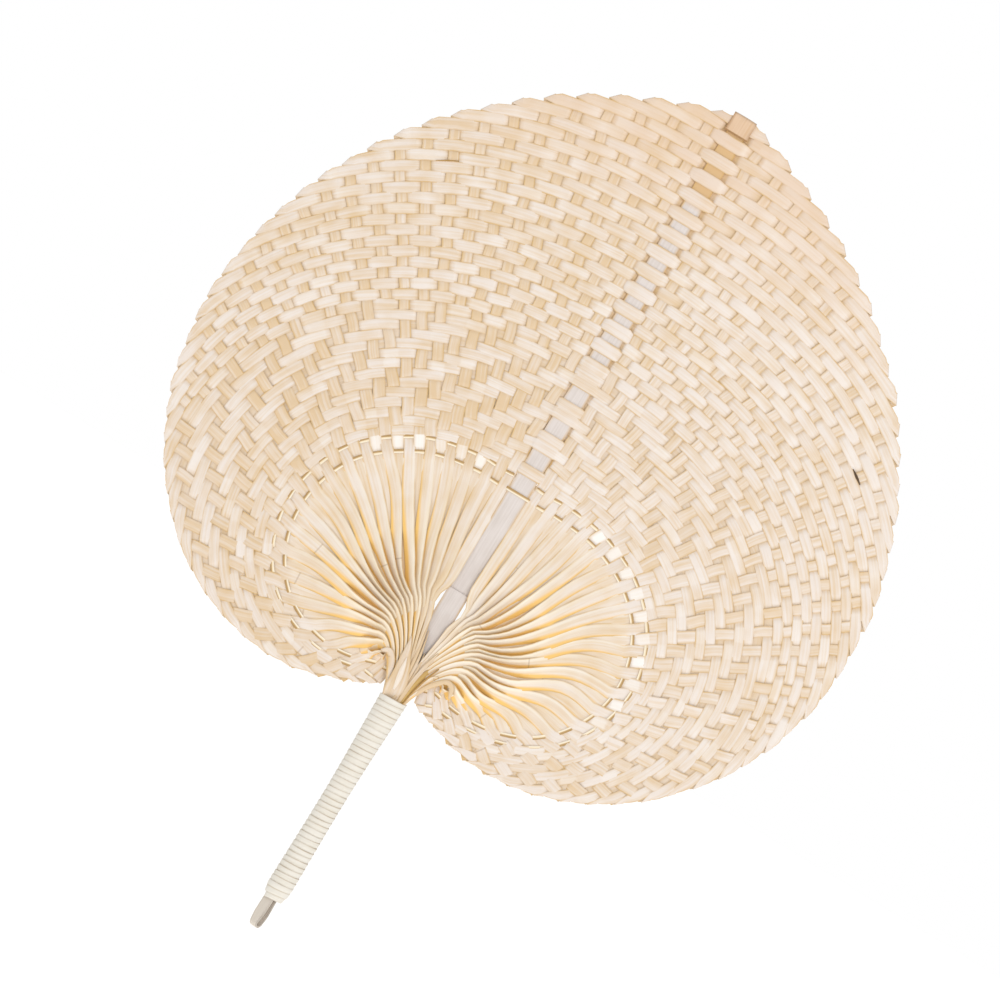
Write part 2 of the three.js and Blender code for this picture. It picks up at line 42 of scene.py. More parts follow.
# Sizes that the solids have too, in millimetres
HANDLE_LENGTH = 105.0
NECK_WIDTH = 12.6
WAIST_WIDTH = 10.0
BUTT_WIDTH = 11.0
CORE_DEPTH_SHARE = 0.94
SPINE_WIDTH = 11.0
SPINE_TIP_WIDTH = 9.4
SPINE_HANDLE_WIDTH = 7.6
SPINE_THICKNESS = 1.0
SPINE_ABOVE_BUTT = 10.3
SHOULDER_LENGTH = 24.0
SLAT_REACH = 58.0
SLAT_TAIL = 8.0
SLAT_THICKNESS = 0.6
CENTRE_RISE = 28.0
TIP_RADIUS = 289.0
SHOULDER_RADIUS = 239.0
CHEEK_DEGREES = 66
LEAF_WIDTH = 349.0
OVAL_RISE = 92.0
NOTCH_RADIUS = 27.0
LOOP_REACH = 21.0
LOOP_LEG = 1.9
LOOP_WIDTH = 5.8
LOOP_SHIFT = -0.9
LOOP_THICKNESS = 0.9
CLIP_WIDTH = 11.8
CLIP_LENGTH = 10.0
GAP = 0.25
CAD_STRIPS = 24

NECK_Z = HANDLE_LENGTH / 2
BUTT_Z = -HANDLE_LENGTH / 2
CENTRE_Z = NECK_Z + CENTRE_RISE
TIP_Z = CENTRE_Z + TIP_RADIUS
SPINE_EDGE = SPINE_WIDTH / 2 + GAP
SLAT_FRONT = SPINE_THICKNESS / 2 + GAP + SLAT_THICKNESS
CHEEK_RADIUS = (LEAF_WIDTH / 2 - SPINE_EDGE) / math.sin(math.radians(CHEEK_DEGREES))

# Spread of the strips in degrees: even at first, then curling in towards the neck
FAN_SPREAD = 126.0
FAN_CURL = 46.0
FAN_POWER = 7

# Counts and sizes of the straw, as in the photo
STRIPS = 40
PLAIN_ROWS = 27
STRIP_WIDTH = 5.6
RIM_SPREAD = 1.12
THICKNESS = 0.2
LIFT = 0.32
ARCH = 0.12
ROW_FILL = 1.12
SPINE_ROW_FILL = 1.14
PLAIN_PITCH = 1.05
SIDE_PITCH_SHARE = 0.957
LAST_ROW = (STRIPS + 0.5) / STRIPS
SPINE_PITCH = (TIP_RADIUS - OVAL_RISE) / (STRIPS * LAST_ROW)
SPINE_LIFT = SPINE_THICKNESS / 2 + 0.4
RIM_POWER = 1.3
FLAT_MARGIN = 8.6
FLAT_SHARE = 0.28
FOLD_TIP = 0.2
SLIVER_WIDTH = 1.9
SLIVER_INSET = 5.2
SLIVER_OUTSET = 1.7
SLIVER_SAG = 2.2
KNOTTED_SHARE = 0.3
NO_KNOT = -1.0
COLUMNS = 5

# Single folds at the edge that stick out their own way, by side and strip
STICKING_FOLDS = {(-1, 6): 1.6, (1, 1): 1.2, (-1, 1): 0.4}

# Gathered strips between the neck and the rim of the bare oval
TAIL_LENGTH = 6.0
NECK_INSET = 0.7
NECK_LEAN = math.radians(48)
BEND_RADIUS = 20.0
BAR_STAND = 2.4
BAR_TILT = math.radians(16)
PLEAT_TILT = math.radians(50)
HEEL_TILT = math.radians(80)
HEEL_BACK = 2.0
PARTING = 3.7
PARTING_Z = NECK_Z + 50.0
PARTING_SPREAD = 6.5

# Binding, neck leaves, loop and clip
BINDING_TURNS = 39.5
BINDING_STEPS = 40
BINDING_PAST_BUTT = 5.4
BINDING_BELOW_NECK = 1.8
BINDING_OUT = 0.42
BINDING_TAPER = 1.4
BINDING_LAP = 1.12
BINDING_THICKNESS = 0.35
BINDING_LEAN = math.radians(8)
LEAF_THICKNESS = 0.25
LOOP_TURN = math.radians(52)
LOOP_INSIDE = 8.0
LOOP_STATIONS = 12
CLIP_HALF_DEPTH = 1.55
CLIP_THICKNESS = 0.4

# Where the colours change, and how much of the pleats' painted glow, highlight and shade the back has
OCHRE_FROM_Z = 321.5
OCHRE_FADE = 4.0
PEACH_FROM_Z = 275.0
PEACH_TO_Z = 365.0
BACK_PAINTED_LIGHT = 0.45

# Limits and directions
ON_SPINE = 1e-9
SHARP_ANGLE = math.radians(50)
FRONT = np.array([0.0, -1.0, 0.0])
BACK = np.array([0.0, 1.0, 0.0])
LEFT = np.array([-1.0, 0.0, 0.0])
UP = np.array([0.0, 0.0, 1.0])

rng = np.random.default_rng(824)


def edge_through(shoulder, cheek, flank, lobe, heel):
    return [
        (0, TIP_RADIUS),
        (33, SHOULDER_RADIUS + shoulder),
        (CHEEK_DEGREES, CHEEK_RADIUS + cheek),
        (98, flank),
        (122, lobe),
        (147, heel),
        (170, NOTCH_RADIUS),
    ]


# Halves of the leaf: the oval's rim and the pleats' bow and wave go by the angle from the spine
HALVES = [
    {
        "name": "left",
        "sign": -1,
        "edge": edge_through(-0.9, -3.0, 122.0, 77.8, 42.4),
        "rim": [(0, -1.2), (8, -3.8), (30, -4.7), (40, -3.6), (53, -0.3), (70, 0.7), (100, 0.3), (172, 0.0)],
        "bow": [(0, 0.0), (14, -1.0), (35, -1.5), (68, 0.0), (100, 1.3), (125, 0.9), (145, 0.0), (172, 0.0)],
        "wave": [(0, 0.0), (40, -0.8), (80, -0.8), (172, 0.0)],
        "parting_reach": 7.0,
        "upright_from": 16,
        "broad_bar": 0.0,
        "bar_tan": 1.3,
        # The left half's uprights and rows are more tan than the right's: painted shade on the side away from
        # the light. warm scales the pleats' painted glow, highlight and shade, shine the painted highlights
        # on floats, and the last entry says where the rim's painted highlights lie
        "upright_tan": 0.2,
        "row_tan": (0.35, 0.65),
        "warm": (0.6, 0.9),
        "shine": (-0.4, 0.28),
        "glint_zone": (0.04, 0.1, 0.3, 0.42),
    },
    {
        "name": "right",
        "sign": 1,
        "edge": edge_through(1.8, -3.1, 112.8, 68.8, 38.4),
        "rim": [
            (0, -1.2), (8, -4.4), (27, -5.4), (40, -2.8), (58, 2.8),
            (85, 6.6), (98, 7.0), (125, 2.5), (172, 0.0),
        ],
        "bow": [
            (0, 0.0), (14, -2.2), (30, -3.6), (54, -1.5), (68, 2.2),
            (84, 1.0), (110, 1.0), (130, 0.4), (145, 0.0), (172, 0.0),
        ],
        "wave": [
            (0, 0.0), (25, -0.3), (45, -1.2), (66, -3.4),
            (76, -3.2), (95, -1.8), (120, -0.6), (172, 0.0),
        ],
        "parting_reach": 3.0,
        "upright_from": 9,
        "broad_bar": 1.5,
        "bar_tan": 0.5,
        "upright_tan": -0.4,
        "row_tan": (0.15, 0.4),
        "warm": (0.8, 1.0),
        "shine": (-0.3, 0.26),
        "glint_zone": (0.1, 0.2, 0.5, 0.8),
    },
]


def lerp(a, b, t):
    return a + (b - a) * t


def ease(x, low, high):
    t = min(max((x - low) / (high - low), 0.0), 1.0)
    return t * t * (3 - 2 * t)


def curve_through(points, x):
    last = len(points) - 1
    i = 0
    while i < last - 1 and x > points[i + 1][0]:
        i += 1

    def slope(n):
        before = points[max(n - 1, 0)]
        after = points[min(n + 1, last)]
        return (after[1] - before[1]) / (after[0] - before[0])

    span = points[i + 1][0] - points[i][0]
    t = (x - points[i][0]) / span
    rise = points[i + 1][1] - points[i][1]
    bend_a = slope(i) * span - rise
    bend_b = rise - slope(i + 1) * span
    return points[i][1] + rise * t + t * (1 - t) * (bend_a * (1 - t) + bend_b * t)


def unit(v):
    return v / max(np.linalg.norm(v), 1e-12)


# Across and face directions of a strip whose inner edge is turned to the front by an angle
def turned(inward, angle):
    across = inward * math.cos(angle) + FRONT * math.sin(angle)
    face = FRONT * math.cos(angle) - inward * math.sin(angle)
    return across, face


# Direction across a path, in the leaf's plane
def sideways(step):
    flat = unit(np.array([step[0], 0.0, step[2]]))
    return np.array([flat[2], 0.0, -flat[0]])


# Fan of strips: share 0 is at the spine, 1 at the lowest strip
def share_of(k):
    return (k - 0.5) / STRIPS


def fan_degrees(share):
    return FAN_SPREAD * share + FAN_CURL * share**FAN_POWER


def fan_angle(share):
    return math.radians(fan_degrees(share))


def fan_rate(share):
    return math.radians(FAN_SPREAD + FAN_POWER * FAN_CURL * share ** (FAN_POWER - 1))


def edge_radius(half, share):
    return curve_through(half["edge"], fan_degrees(share))


def row_pitch(share):
    return SPINE_PITCH * lerp(1.0, SIDE_PITCH_SHARE, ease(share, 0.0, 0.4))


def packed(depth):
    turn = PLAIN_ROWS / STRIPS
    twill_pitch = (LAST_ROW - PLAIN_PITCH * turn) / (LAST_ROW - turn)
    return PLAIN_PITCH * min(depth, turn) + twill_pitch * max(depth - turn, 0.0)


def web_radius(half, share, depth):
    near = 1 - ease(share, 0.15, 0.5)
    even = depth - share
    uneven = packed(depth) - packed(share)
    inner = min(max(even, 0.0) / (LAST_ROW - share), 1.0) ** RIM_POWER
    stand_out = inner * curve_through(half["rim"], fan_degrees(share))
    return edge_radius(half, share) - row_pitch(share) * STRIPS * lerp(even, uneven, near) + stand_out


def oval_radius(half, share):
    return web_radius(half, share, LAST_ROW)


def sliver_radius(half, share):
    return oval_radius(half, share) - SLIVER_SAG * (1 - ease(share, 0.0, 0.08))


def row_radius(half, share, k):
    return web_radius(half, share, share_of(k))


def row_width(half, share, k):
    above = web_radius(half, share, share_of(k - 0.5))
    below = web_radius(half, share, share_of(k + 0.5))
    return ROW_FILL * (above - below)


def flat_radius(half, k):
    return oval_radius(half, share_of(k)) - FLAT_MARGIN


def leaf_point(angle, radius, depth):
    return np.array([SPINE_EDGE + radius * math.sin(angle), depth, CENTRE_Z + radius * math.cos(angle)])


def row_is_over(k, j):
    if k <= PLAIN_ROWS:
        return (k - j) % 2 == 1
    return (k - j) % 4 < 2


def tuck_strip(k):
    for j in range(1, k):
        if not row_is_over(k, j):
            return j
    return 0


def strip_share(k):
    return lerp(1.0, 0.82, ease(share_of(k), 0.8, 1.0))


def peach_at(point, jitter):
    return jitter["peach"] * ease(point[2], PEACH_FROM_Z, PEACH_TO_Z)


def painted_shade_at(depth):
    return ease(depth, 0.1 * LIFT, LIFT)


def wobble(jitter, x, length, size):
    phase = jitter["phase"]
    return size * (math.sin(2 * math.pi * x / length + phase) + math.sin(5.1 * x / length + 2 * phase))


def core_half_width(z):
    t = min(max((z - BUTT_Z) / HANDLE_LENGTH, 0.0), 1.0)
    return curve_through([(0, BUTT_WIDTH), (0.5, WAIST_WIDTH), (1, NECK_WIDTH)], t) / 2


# A strip as cross-sections: middle, directions across and of the face, width, thickness, arch and colours
class Rings:
    def __init__(self):
        self.rows = []

    def add(
        self, middle, across, face, width, thick=THICKNESS, arch=0.0,
        tan=0.0, warm=0.0, valley=0.0, under=0.0, glint=0.0,
    ):
        colours = (tan, warm, valley, under, glint)
        self.rows.append((middle, across, face, width, thick, arch, *colours))


def strip_mesh(name, rings, sign=1, tone=0.5, knot=NO_KNOT, columns=COLUMNS):
    values = [np.array(value) for value in zip(*rings.rows)]
    middle, across, face, width, thick, arch, tan, warm, valley, under, glint = values
    c = np.linspace(-1, 1, columns)
    spread = middle[:, None] + across[:, None] * (c[None, :, None] * width[:, None, None] / 2)
    bulge = (arch[:, None] * (0.5 - c[None, :] ** 2))[:, :, None] * face[:, None]
    half = face[:, None] * (thick[:, None, None] / 2)
    front = spread + bulge + half
    back = (spread + bulge - half)[:, ::-1]
    points = np.concatenate([front, back], axis=1)
    points[:, :, 0] *= sign
    count, loop = points.shape[:2]
    steps = np.linalg.norm(np.diff(middle, axis=0), axis=1)
    along = np.concatenate([[0], np.cumsum(steps)])
    side = np.concatenate([c, c[::-1]])
    uv = np.stack(np.broadcast_arrays(along[:, None], side[None] * width[:, None] / 2), axis=-1)
    index = np.arange(count * loop).reshape(count, loop)
    after = np.roll(index, -1, axis=1)
    quads = np.stack([index[:-1], index[1:], after[1:], after[:-1]], axis=-1).reshape(-1, 4)
    polygons = quads.tolist() + [index[0].tolist(), index[-1][::-1].tolist()]
    if sign < 0:
        polygons = [polygon[::-1] for polygon in polygons]
    mesh = bpy.data.meshes.new(name)
    mesh.from_pydata((points.reshape(-1, 3) * MM).tolist(), [], polygons)
    corners = np.empty(len(mesh.loops), np.int32)
    mesh.loops.foreach_get("vertex_index", corners)
    layer = mesh.uv_layers.new(name="grain")
    layer.uv.foreach_set("vector", (uv.reshape(-1, 2)[corners] * MM).astype(np.float32).ravel())
    # Painted shade and highlights go on the face that lies on top; the back gets only part of the pleats'
    # painted light
    first_face = np.arange(loop) < columns
    shown = np.where(face[:, 1:2] < 0, first_face, ~first_face)
    attributes = {
        "tan": np.repeat(tan, loop),
        "warm": np.repeat(warm, loop),
        "valley": (valley[:, None] * np.where(shown, 1.0, BACK_PAINTED_LIGHT)).ravel(),
        "under": (under[:, None] * shown).ravel(),
        "glint": (glint[:, None] * shown).ravel(),
        "side": np.tile(side, count),
        "tone": np.full(count * loop, tone),
        "knot": np.full(count * loop, knot * MM),
    }
    for label, numbers in attributes.items():
        store = mesh.attributes.new(label, "FLOAT", "POINT")
        store.data.foreach_set("value", numbers.astype(np.float32))
    mesh.polygons.foreach_set("use_smooth", np.ones(len(mesh.polygons), bool))
    mesh.set_sharp_from_angle(angle=SHARP_ANGLE)
    return mesh


def add_object(name, data):
    item = bpy.data.objects.new(name, data)
    bpy.context.scene.collection.objects.link(item)
    return item


def place(name, mesh, material, nodes=()):
    piece = add_object(name, mesh)
    mesh.materials.append(material)
    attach(piece, "root")
    if nodes:
        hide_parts(*nodes)
    return piece


# Materials
PEACH = (0.80, 0.58, 0.40)
# Painted shade in the pleats' hollows, warmed as by light through the straw
HOLLOW_SHADE = (0.94, 0.58, 0.17)
# Painted highlight on the pleats' crests
CREST_HIGHLIGHT = (1.0, 0.94, 0.80)
# Colour of the strips' edges, and of painted shade where strips pass under others
OCHRE = (0.68, 0.44, 0.16)
# Painted highlight on strips and floats
GLINT = (1.0, 0.97, 0.93)
# Painted glow in the pleats, as of light through the straw
GLOW = (1.0, 0.80, 0.50)
KNOT = (0.32, 0.17, 0.06)
FIBRE_GRAIN = (24.0, 900.0)
PATCH_GRAIN = (95.0, 150.0)
TONE_SPREAD = 97.0


def node_tree(name):
    material = bpy.data.materials.new(name)
    material.use_nodes = True
    tree = material.node_tree
    shader = tree.nodes["Principled BSDF"]
    return material, tree, shader


def add_node(tree, kind, **settings):
    node = tree.nodes.new(kind)
    for key, value in settings.items():
        setattr(node, key, value)
    return node


def feed(tree, value, socket):
    if isinstance(value, (int, float)):
        socket.default_value = value
    elif isinstance(value, tuple):
        socket.default_value = (*value, 1.0)
    else:
        tree.links.new(value, socket)


def math_node(tree, operation, a, b=0.0, clamp=False):
    node = add_node(tree, "ShaderNodeMath", operation=operation, use_clamp=clamp)
    feed(tree, a, node.inputs[0])
    feed(tree, b, node.inputs[1])
    return node.outputs[0]


def attribute(tree, name):
    return add_node(tree, "ShaderNodeAttribute", attribute_name=name).outputs["Fac"]


def mix_colour(tree, factor, a, b):
    node = add_node(tree, "ShaderNodeMix", data_type="RGBA", blend_type="MIX")
    feed(tree, factor, node.inputs[0])
    feed(tree, a, node.inputs[6])
    feed(tree, b, node.inputs[7])
    return node.outputs[2]


def map_range(tree, value, low, high, to_low=0.0, to_high=1.0):
    node = add_node(tree, "ShaderNodeMapRange")
    for i, number in enumerate((value, low, high, to_low, to_high)):
        feed(tree, number, node.inputs[i])
    return node.outputs[0]


# Noise drawn out along a strip, and the distance along it
def grain_noise(tree, grain, detail, tone):
    place_node = add_node(tree, "ShaderNodeUVMap", uv_map="grain")
    split = add_node(tree, "ShaderNodeSeparateXYZ")
    tree.links.new(place_node.outputs[0], split.inputs[0])
    join = add_node(tree, "ShaderNodeCombineXYZ")
    feed(tree, math_node(tree, "MULTIPLY", split.outputs[0], grain[0]), join.inputs[0])
    feed(tree, math_node(tree, "MULTIPLY", split.outputs[1], grain[1]), join.inputs[1])
    feed(tree, math_node(tree, "MULTIPLY", tone, TONE_SPREAD), join.inputs[2])
    noise = add_node(tree, "ShaderNodeTexNoise")
    noise.inputs["Scale"].default_value = 1.0
    noise.inputs["Detail"].default_value = detail
    tree.links.new(join.outputs[0], noise.inputs["Vector"])
    return noise.outputs[0], split.outputs[0]


def straw_material(name, pale, deep, line_colour, roughness, hollow_shade_colour=HOLLOW_SHADE):
    material, tree, shader = node_tree(name)
    tone = attribute(tree, "tone")
    fibre, along = grain_noise(tree, FIBRE_GRAIN, 2.0, tone)
    float_tone, _ = grain_noise(tree, PATCH_GRAIN, 1.0, tone)
    streak = map_range(tree, fibre, 0.34, 0.68, -0.32, 0.32)
    patch = map_range(tree, float_tone, 0.3, 0.7, -0.22, 0.22)
    amount = math_node(tree, "MULTIPLY", attribute(tree, "tan"), 0.55)
    amount = math_node(tree, "ADD", amount, math_node(tree, "MULTIPLY", tone, 0.3))
    amount = math_node(tree, "ADD", amount, streak)
    amount = math_node(tree, "ADD", amount, patch, clamp=True)
    colour = mix_colour(tree, amount, pale, deep)
    colour = mix_colour(tree, attribute(tree, "warm"), colour, PEACH)
    # Painted shade where strips pass under others, on layers set back and along the clip's lower edge, mixed
    # towards the line colour; on the spine it gives the top its own ochre
    under = math_node(tree, "MULTIPLY", attribute(tree, "under"), 0.6)
    colour = mix_colour(tree, under, colour, line_colour)
    side = attribute(tree, "side")
    off_middle = math_node(tree, "ABSOLUTE", side)
    # Painted highlight, fading towards the strip's edges
    inside = map_range(tree, off_middle, 0.45, 1.0, 1.0, 0.1)
    glint = math_node(tree, "MULTIPLY", attribute(tree, "glint"), inside)
    colour = mix_colour(tree, glint, colour, GLINT)
    # Painted glow in the pleats, as of light through the straw
    valley = attribute(tree, "valley")
    glow = math_node(tree, "MULTIPLY", valley, 0.34, clamp=True)
    colour = mix_colour(tree, glow, colour, GLOW)
    # Painted highlight on the pleats' crests
    upper = map_range(tree, side, 0.15, 0.7, 0.0, 0.85)
    crest = math_node(tree, "MULTIPLY", upper, valley, clamp=True)
    colour = mix_colour(tree, crest, colour, CREST_HIGHLIGHT)
    # Painted shade in the pleats' hollows
    cut = map_range(tree, valley, 0.0, 1.0, -1.0, 0.3)
    hollow_shade = math_node(tree, "MULTIPLY", math_node(tree, "SUBTRACT", cut, side), 2.2, clamp=True)
    colour = mix_colour(tree, hollow_shade, colour, hollow_shade_colour)
    # Edges darken towards the line colour: partly the straw's own darker edges, partly painted shade between
    # strips
    line = map_range(tree, off_middle, 0.74, 1.0, 0.0, 0.95)
    line = math_node(tree, "MULTIPLY", line, map_range(tree, float_tone, 0.35, 0.65, 0.35, 1.0))
    colour = mix_colour(tree, line, colour, line_colour)
    apart = math_node(tree, "SUBTRACT", along, attribute(tree, "knot"))
    apart = math_node(tree, "ABSOLUTE", apart)
    tick = map_range(tree, apart, 0.0002, 0.0005, 0.3, 0.0)
    colour = mix_colour(tree, tick, colour, KNOT)
    tree.links.new(colour, shader.inputs["Base Color"])
    rough = map_range(tree, fibre, 0.2, 0.8, roughness - 0.08, roughness + 0.12)
    tree.links.new(rough, shader.inputs["Roughness"])
    bump = add_node(tree, "ShaderNodeBump")
    bump.inputs["Strength"].default_value = 0.4
    bump.inputs["Distance"].default_value = 0.00014
    tree.links.new(fibre, bump.inputs["Height"])
    tree.links.new(bump.outputs[0], shader.inputs["Normal"])
    shader.inputs["Specular IOR Level"].default_value = 0.45
    return material


straw = straw_material("straw", (0.85, 0.76, 0.685), (0.755, 0.565, 0.355), OCHRE, 0.44)
white_straw = straw_material("white_straw", (0.90, 0.80, 0.69), (0.82, 0.68, 0.50), OCHRE, 0.42)
ochre_straw = straw_material("ochre_straw", (0.68, 0.45, 0.15), (0.50, 0.29, 0.08), (0.30, 0.15, 0.04), 0.5)
# The slivers' last colour is painted shade along one edge
sliver_straw = straw_material(
    "sliver_straw", (0.92, 0.80, 0.60), (0.86, 0.68, 0.42), (0.42, 0.24, 0.08), 0.5, (0.50, 0.31, 0.12)
)
# Painted shadow for gaps in the weave
gap_shadow_straw = straw_material("gap_shadow_straw", (0.16, 0.09, 0.04), (0.08, 0.045, 0.02), (0.2, 0.11, 0.04), 0.6)
peach_straw = straw_material("peach_straw", (0.78, 0.56, 0.38), (0.68, 0.44, 0.24), (0.40, 0.21, 0.08), 0.5)
bamboo = straw_material("bamboo", (0.77, 0.70, 0.66), (0.65, 0.575, 0.52), (0.66, 0.40, 0.12), 0.42)
split_bamboo = straw_material("split_bamboo", (0.73, 0.66, 0.57), (0.62, 0.55, 0.48), (0.40, 0.35, 0.29), 0.5)
ivory = straw_material("ivory", (0.84, 0.80, 0.72), (0.76, 0.71, 0.60), (0.54, 0.43, 0.29), 0.45)


# Where the gathered strips run, from the neck to the rim of the bare oval, in the leaf's plane
GATHER = [("tail", 0.0), ("neck", 0.0)]
GATHER += [("bend", t) for t in np.linspace(0.1, 1.0, 12)]
GATHER += [("run", t) for t in np.linspace(0.08, 1.0, 14)]


def gather_point(half, k, kind, t):
    share = share_of(k)
    angle = fan_angle(share)
    radial = np.array([math.sin(angle), math.cos(angle)])
    centre = np.array([SPINE_EDGE, CENTRE_Z])
    neck_x = (core_half_width(NECK_Z) - NECK_INSET) * share
    neck = np.array([neck_x, NECK_Z])
    lean = NECK_LEAN * share**3 * (1 - ease(share, 0.84, 0.97))
    leave = np.array([math.sin(lean), math.cos(lean)])
    if kind == "tail":
        return np.array([neck_x, NECK_Z - TAIL_LENGTH]), np.array([0.0, 1.0])
    if kind == "neck":
        return neck, leave
    bend_radius = min(BEND_RADIUS, 0.8 * flat_radius(half, k))
    bend = centre + radial * bend_radius
    if kind == "run":
        radius = lerp(bend_radius, flat_radius(half, k), t)
        return centre + radial * radius, radial
    p1 = neck + leave * lerp(17.0, 10.0, share**2)
    p2 = bend - radial * lerp(15.0, 8.0, share**2)
    u = 1 - t
    at = u**3 * neck + 3 * u * u * t * p1 + 3 * u * t * t * p2 + t**3 * bend
    along = 3 * u * u * (p1 - neck) + 6 * u * t * (p2 - p1) + 3 * t * t * (bend - p2)
    return at, unit(along)


# Out of the neck every fourth strip lies in front as a bar, past the bend every second one stands as a pleat
PLEAT = dict(pleat_back=-0.2, pleat_shade=0.0, pleat_tan=0.45, upright=1.0)
# Strips set further back get painted shade, in their bar and pleat parts
FRONT_LAYER = dict(bar_back=0.0, bar_shade=0.0, **PLEAT)
MIDDLE_LAYER = dict(bar_back=0.9, bar_shade=1.2, **PLEAT)
BACK_LAYER = dict(bar_back=1.6, bar_shade=1.7, pleat_back=0.55, pleat_shade=0.15, pleat_tan=0.7, upright=0.4)
LAYERS = (BACK_LAYER, FRONT_LAYER, BACK_LAYER, MIDDLE_LAYER)


def gather_rings(rings, half, k, jitter):
    layer = LAYERS[k % len(LAYERS)]
    share = share_of(k)
    standing = lerp(0.2, 1.0, ease(k, 2, half["upright_from"])) * layer["upright"]
    bow = curve_through(half["bow"], fan_degrees(share))
    wave = curve_through(half["wave"], fan_degrees(share)) + jitter["sway"]
    on_edge = ease(share, 0.86, 0.94)
    slender = strip_share(k)
    core = core_half_width(NECK_Z)
    for kind, t in GATHER:
        at, along = gather_point(half, k, kind, t)
        gaps = []
        for n in (k - 1, k + 1):
            if 1 <= n <= STRIPS:
                apart = gather_point(half, n, kind, t)[0] - at
                gaps.append(abs(along[0] * apart[1] - along[1] * apart[0]))
        spacing = min(gaps)
        run = {"tail": 0.0, "neck": 0.0, "bend": 0.5 * t, "run": 0.5 + 0.5 * t}[kind]
        bunched = 1 - ease(run, 0.36, 0.56)
        full = STRIP_WIDTH * slender * lerp(1.0, RIM_SPREAD, ease(run, 0.7, 1.0))
        bar = min(max(lerp(4.0, jitter["bar"], ease(run, 0.02, 0.1)) * spacing, 1.2), full)
        width = lerp(full, bar, bunched)
        settle = 1 - ease(run, 0.8, 1.0)
        pleat_tilt = min(math.acos(min(2.0 * spacing / full, 1.0)), PLEAT_TILT)
        pleat_tilt *= standing * settle
        pleat_tilt += math.radians(jitter["tilt"]) * math.sin(math.pi * run)
        tilt = lerp(pleat_tilt, BAR_TILT, bunched)
        tilt = lerp(tilt, HEEL_TILT, on_edge * ease(run, 0.05, 0.2) * (1 - ease(run, 0.6, 0.85)))
        pleat_stand = SLAT_FRONT + GAP + full / 2 * math.sin(abs(tilt)) + 0.2
        stand = lerp(pleat_stand, SLAT_FRONT + BAR_STAND, bunched)
        if kind in ("tail", "neck"):
            stand = min(stand, 0.8 * core * CORE_DEPTH_SHARE * math.sqrt(1 - (at[0] / core) ** 2))
        sunk = ease(run, 0.62, 0.95)
        back = lerp(layer["pleat_back"] + jitter["layer"], layer["bar_back"], bunched) * settle
        back += HEEL_BACK * on_edge * (1 - ease(run, 0.55, 0.8))
        past_bend = max(2 * run - 1, 0.0)
        sway = wave * math.sin(2 * math.pi * past_bend) + bow * math.sin(math.pi * past_bend**0.7)
        near_parting = math.exp(-((at[1] - PARTING_Z) / PARTING_SPREAD) ** 2)
        parting = PARTING * near_parting * math.exp(-(k - 1) / half["parting_reach"])
        inward = np.array([-along[1], 0.0, along[0]])
        middle = np.array([at[0] + parting, back - (1 - sunk) * stand, at[1]]) + inward * sway
        across, face = turned(inward, tilt)
        # Painted light of the pleats: a glow, a highlight on the crest and shade in the hollow, fading
        # towards the rim and scaled by the strip's random warm share; layers set back get painted shade
        valley = lerp(0.75, 1.0, ease(run, 0.3, 0.5)) * (1 - 0.65 * sunk)
        valley *= jitter["warm"] * lerp(0.4, 1.0, ease(k, 4, 9))
        tan = lerp(half["bar_tan"], layer["pleat_tan"], ease(run, 0.3, 0.9))
        under = max(layer["bar_shade"] * bunched, layer["pleat_shade"] * (1 - ease(run, 0.75, 1.0)))
        rings.add(middle, across, face, width, arch=ARCH, tan=tan, valley=valley, under=under)


# Places along a woven strip: each stop has its centre, its depth and half the length of its flat part
def weave_stations(stops):
    heading = 1 if stops[-1][0] > stops[0][0] else -1
    places = []
    for i, (centre, depth, flat) in enumerate(stops):
        if i > 0:
            centre_before, depth_before, flat_before = stops[i - 1]
            start = centre_before + heading * flat_before
            end = centre - heading * flat
            for t in (0.33, 0.67):
                places.append((lerp(start, end, t), lerp(depth_before, depth, t * t * (3 - 2 * t))))
            places.append((end, depth))
        places.append((centre, depth))
        if i + 1 < len(stops):
            places.append((centre + heading * flat, depth))
    return places


